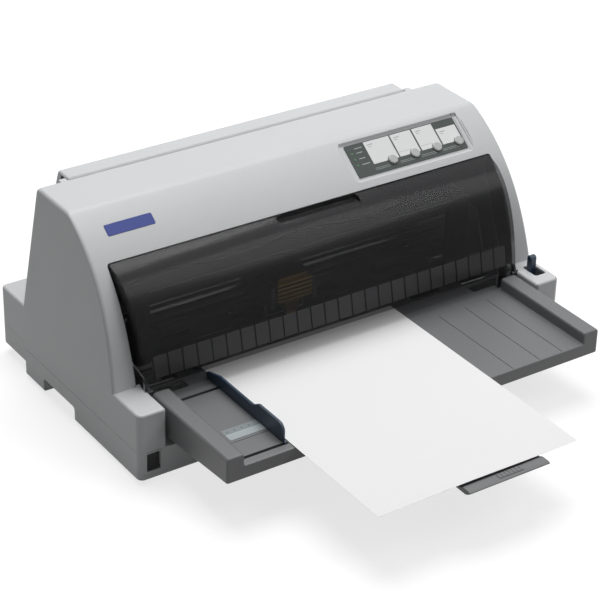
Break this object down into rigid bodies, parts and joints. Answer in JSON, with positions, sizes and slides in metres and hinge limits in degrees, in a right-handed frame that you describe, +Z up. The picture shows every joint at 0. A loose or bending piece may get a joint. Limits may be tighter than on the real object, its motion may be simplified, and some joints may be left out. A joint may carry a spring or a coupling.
{
  "type": "dot matrix printer",
  "caption": "Flatbed dot matrix printer with smoked front cover, paper tray, edge guide, rear cover, carriage, print head, platen and tractor feed.",
  "frame": {"origin": "centre of the overall box on the surface that the feet stand on", "axes": "+X to the printer's right seen from the front, +Y from the paper tray to the rear, +Z up"},
  "size_m": [0.48, 0.505, 0.21],
  "materials": {
    "case_grey": "fine-grained moulded plastic",
    "smoked": "smoked translucent plastic, smooth",
    "tray_grey": "dark grey moulded plastic",
    "black_plastic": "black moulded plastic",
    "deep_blue": "blue-grey moulded plastic",
    "sheet_steel": "zinc-plated sheet",
    "bright_steel": "ground shaft",
    "nylon": "natural nylon",
    "roller_rubber": "ground rubber",
    "foot_rubber": "soft rubber",
    "motor_grey": "dark paint",
    "brass_wheel": "sintered brass",
    "head_gold": "anodised fins",
    "badge_blue": "plain satin plate",
    "overlay_green": "printed film",
    "button_grey": "moulded plastic",
    "label_grey": "printed strip",
    "sheet_paper": "uncoated paper",
    "board_green": "solder mask",
    "belt_rubber": "toothed belt",
    "ribbon_cloth": "inked nylon"
  },
  "bodies": {
    "root": {"lower_case": "case_grey", "upper_housing": "case_grey", "corner_blocks": "case_grey", "rear_housing": "case_grey", "hinge_pins": "bright_steel", "front_tray": "tray_grey", "scale_strip": "label_grey", "badge_plate": "badge_blue", "panel_overlay": "overlay_green", "power_switch_body": "black_plastic", "base_frame": "sheet_steel", "side_frame_left": "sheet_steel", "side_frame_right": "sheet_steel", "platen_bushes": "nylon", "feed_motor": "motor_grey", "lower_paper_guide": "black_plastic", "upper_paper_guide": "black_plastic", "carriage_shaft": "bright_steel", "rear_rail": "sheet_steel", "ribbon_cartridge": "black_plastic", "ink_ribbon": "ribbon_cloth", "carriage_drive": "motor_grey", "drive_belts": "belt_rubber", "tractor_support_shaft": "bright_steel", "circuit_boards": "board_green", "rear_connectors": "black_plastic", "rubber_feet": "foot_rubber", "screws": "sheet_steel"},
    "front_cover": {"front_cover": "smoked"},
    "rear_cover": {"rear_cover": "case_grey"},
    "feed_button": {"feed_button": "button_grey"},
    "pause_button": {"pause_button": "button_grey"},
    "font_button": {"font_button": "button_grey"},
    "tear_off_button": {"tear_off_button": "button_grey"},
    "power_rocker": {"power_rocker": "black_plastic"},
    "release_lever": {"release_lever": "deep_blue"},
    "edge_guide": {"edge_guide": "deep_blue"},
    "tray_extension": {"tray_extension": "tray_grey"},
    "paper_sheet": {"paper_sheet": "sheet_paper"},
    "carriage": {"carriage": "black_plastic", "print_head": "head_gold", "ribbon_mask": "sheet_steel"},
    "motor_pulley": {"motor_pulley": "brass_wheel"},
    "idler_pulley": {"idler_pulley": "nylon"},
    "ribbon_knob": {"ribbon_knob": "deep_blue"},
    "platen": {"platen_roller": "roller_rubber", "platen_shaft": "bright_steel", "platen_gear": "nylon"},
    "front_idler": {"front_idler_gear": "nylon"},
    "rear_idler": {"rear_idler_gear": "nylon"},
    "front_feed": {"front_feed_shaft": "bright_steel", "front_feed_rollers": "roller_rubber"},
    "rear_feed": {"rear_feed_shaft": "bright_steel", "rear_feed_rollers": "roller_rubber"},
    "front_pinch": {"front_pinch_roller": "black_plastic"},
    "rear_pinch": {"rear_pinch_roller": "black_plastic"},
    "feed_pinion": {"feed_pinion": "brass_wheel"},
    "tractor_shaft": {"tractor_drive_shaft": "bright_steel"},
    "left_tractor": {"left_tractor": "black_plastic"},
    "right_tractor": {"right_tractor": "black_plastic"}
  },
  "joints": [
    {"name": "front_cover_hinge", "type": "hinge", "parent": "root", "child": "front_cover", "pos_m": [0, 0.0115, 0.0705], "axis": [1, 0, 0], "range_deg": [0, 66]},
    {"name": "rear_cover_hinge", "type": "hinge", "parent": "root", "child": "rear_cover", "pos_m": [0, 0.18, 0.2067], "axis": [1, 0, 0], "range_deg": [0, 75]},
    {"name": "feed_button_press", "type": "slide", "parent": "root", "child": "feed_button", "axis": [0, 0.5834, -0.8122], "range_m": [0, 0.0012], "stiffness_N_per_m": 300},
    {"name": "pause_button_press", "type": "slide", "parent": "root", "child": "pause_button", "axis": [0, 0.5834, -0.8122], "range_m": [0, 0.0012], "stiffness_N_per_m": 300},
    {"name": "font_button_press", "type": "slide", "parent": "root", "child": "font_button", "axis": [0, 0.5834, -0.8122], "range_m": [0, 0.0012], "stiffness_N_per_m": 300},
    {"name": "tear_off_button_press", "type": "slide", "parent": "root", "child": "tear_off_button", "axis": [0, 0.5834, -0.8122], "range_m": [0, 0.0012], "stiffness_N_per_m": 300},
    {"name": "power_rocker_tilt", "type": "hinge", "parent": "root", "child": "power_rocker", "pos_m": [-0.2255, -0.018, 0.02175], "axis": [1, 0, 0], "range_deg": [0, 18]},
    {"name": "release_lever_swing", "type": "hinge", "parent": "root", "child": "release_lever", "pos_m": [0.2264, 0.006, 0.04], "axis": [1, 0, 0], "range_deg": [0, 15]},
    {"name": "edge_guide_slide", "type": "slide", "parent": "root", "child": "edge_guide", "axis": [1, 0, 0], "range_m": [-0.035, 0]},
    {"name": "tray_extension_slide", "type": "slide", "parent": "root", "child": "tray_extension", "axis": [0, 1, 0], "range_m": [0, 0.12]},
    {"name": "paper_feed", "type": "slide", "parent": "root", "child": "paper_sheet", "axis": [0, 1, 0], "range_m": [0, 0.12]},
    {"name": "carriage_travel", "type": "slide", "parent": "root", "child": "carriage", "axis": [1, 0, 0], "range_m": [-0.128, 0.155]},
    {"name": "motor_pulley_spin", "type": "hinge", "parent": "root", "child": "motor_pulley", "pos_m": [-0.184, 0.142, 0.101], "axis": [0, 0, 1], "range_deg": [-1300, 1300]},
    {"name": "idler_pulley_spin", "type": "hinge", "parent": "root", "child": "idler_pulley", "pos_m": [0.184, 0.142, 0.101], "axis": [0, 0, 1], "range_deg": [-1300, 1300]},
    {"name": "ribbon_knob_turn", "type": "hinge", "parent": "root", "child": "ribbon_knob", "pos_m": [0.14, 0.116, 0.14], "axis": [0, 0, 1], "continuous": true},
    {"name": "platen_spin", "type": "hinge", "parent": "root", "child": "platen", "pos_m": [0, 0.076, 0.047], "axis": [1, 0, 0], "continuous": true},
    {"name": "front_idler_spin", "type": "hinge", "parent": "root", "child": "front_idler", "pos_m": [0.209, 0.05591, 0.0358], "axis": [1, 0, 0], "continuous": true},
    {"name": "rear_idler_spin", "type": "hinge", "parent": "root", "child": "rear_idler", "pos_m": [0.209, 0.09609, 0.0358], "axis": [1, 0, 0], "continuous": true},
    {"name": "front_feed_spin", "type": "hinge", "parent": "root", "child": "front_feed", "pos_m": [0, 0.04627, 0.051], "axis": [1, 0, 0], "continuous": true},
    {"name": "rear_feed_spin", "type": "hinge", "parent": "root", "child": "rear_feed", "pos_m": [0, 0.10573, 0.051], "axis": [1, 0, 0], "continuous": true},
    {"name": "front_pinch_spin", "type": "hinge", "parent": "root", "child": "front_pinch", "pos_m": [0, 0.04627, 0.0661], "axis": [1, 0, 0], "continuous": true},
    {"name": "rear_pinch_spin", "type": "hinge", "parent": "root", "child": "rear_pinch", "pos_m": [0, 0.10573, 0.0661], "axis": [1, 0, 0], "continuous": true},
    {"name": "feed_pinion_spin", "type": "hinge", "parent": "root", "child": "feed_pinion", "pos_m": [0.209, 0.12346, 0.04787], "axis": [1, 0, 0], "continuous": true},
    {"name": "tractor_shaft_spin", "type": "hinge", "parent": "root", "child": "tractor_shaft", "pos_m": [0, 0.211, 0.0475], "axis": [1, 0, 0], "continuous": true},
    {"name": "left_tractor_slide", "type": "slide", "parent": "root", "child": "left_tractor", "axis": [1, 0, 0], "range_m": [-0.02, 0.08]},
    {"name": "right_tractor_slide", "type": "slide", "parent": "root", "child": "right_tractor", "axis": [1, 0, 0], "range_m": [-0.08, 0.08]}
  ],
  "couplings": [
    {"joint": "motor_pulley_spin", "follows": "carriage_travel", "rad_per_m": 133.33},
    {"joint": "idler_pulley_spin", "follows": "carriage_travel", "rad_per_m": 133.33},
    {"joint": "front_idler_spin", "follows": "platen_spin", "ratio": -1.875},
    {"joint": "rear_idler_spin", "follows": "platen_spin", "ratio": -1.875},
    {"joint": "front_feed_spin", "follows": "platen_spin", "ratio": 1.5},
    {"joint": "rear_feed_spin", "follows": "platen_spin", "ratio": 1.5},
    {"joint": "front_pinch_spin", "follows": "platen_spin", "ratio": -2},
    {"joint": "rear_pinch_spin", "follows": "platen_spin", "ratio": -2},
    {"joint": "feed_pinion_spin", "follows": "platen_spin", "ratio": -1.875},
    {"joint": "tractor_shaft_spin", "follows": "platen_spin", "ratio": 1.5}
  ]
}
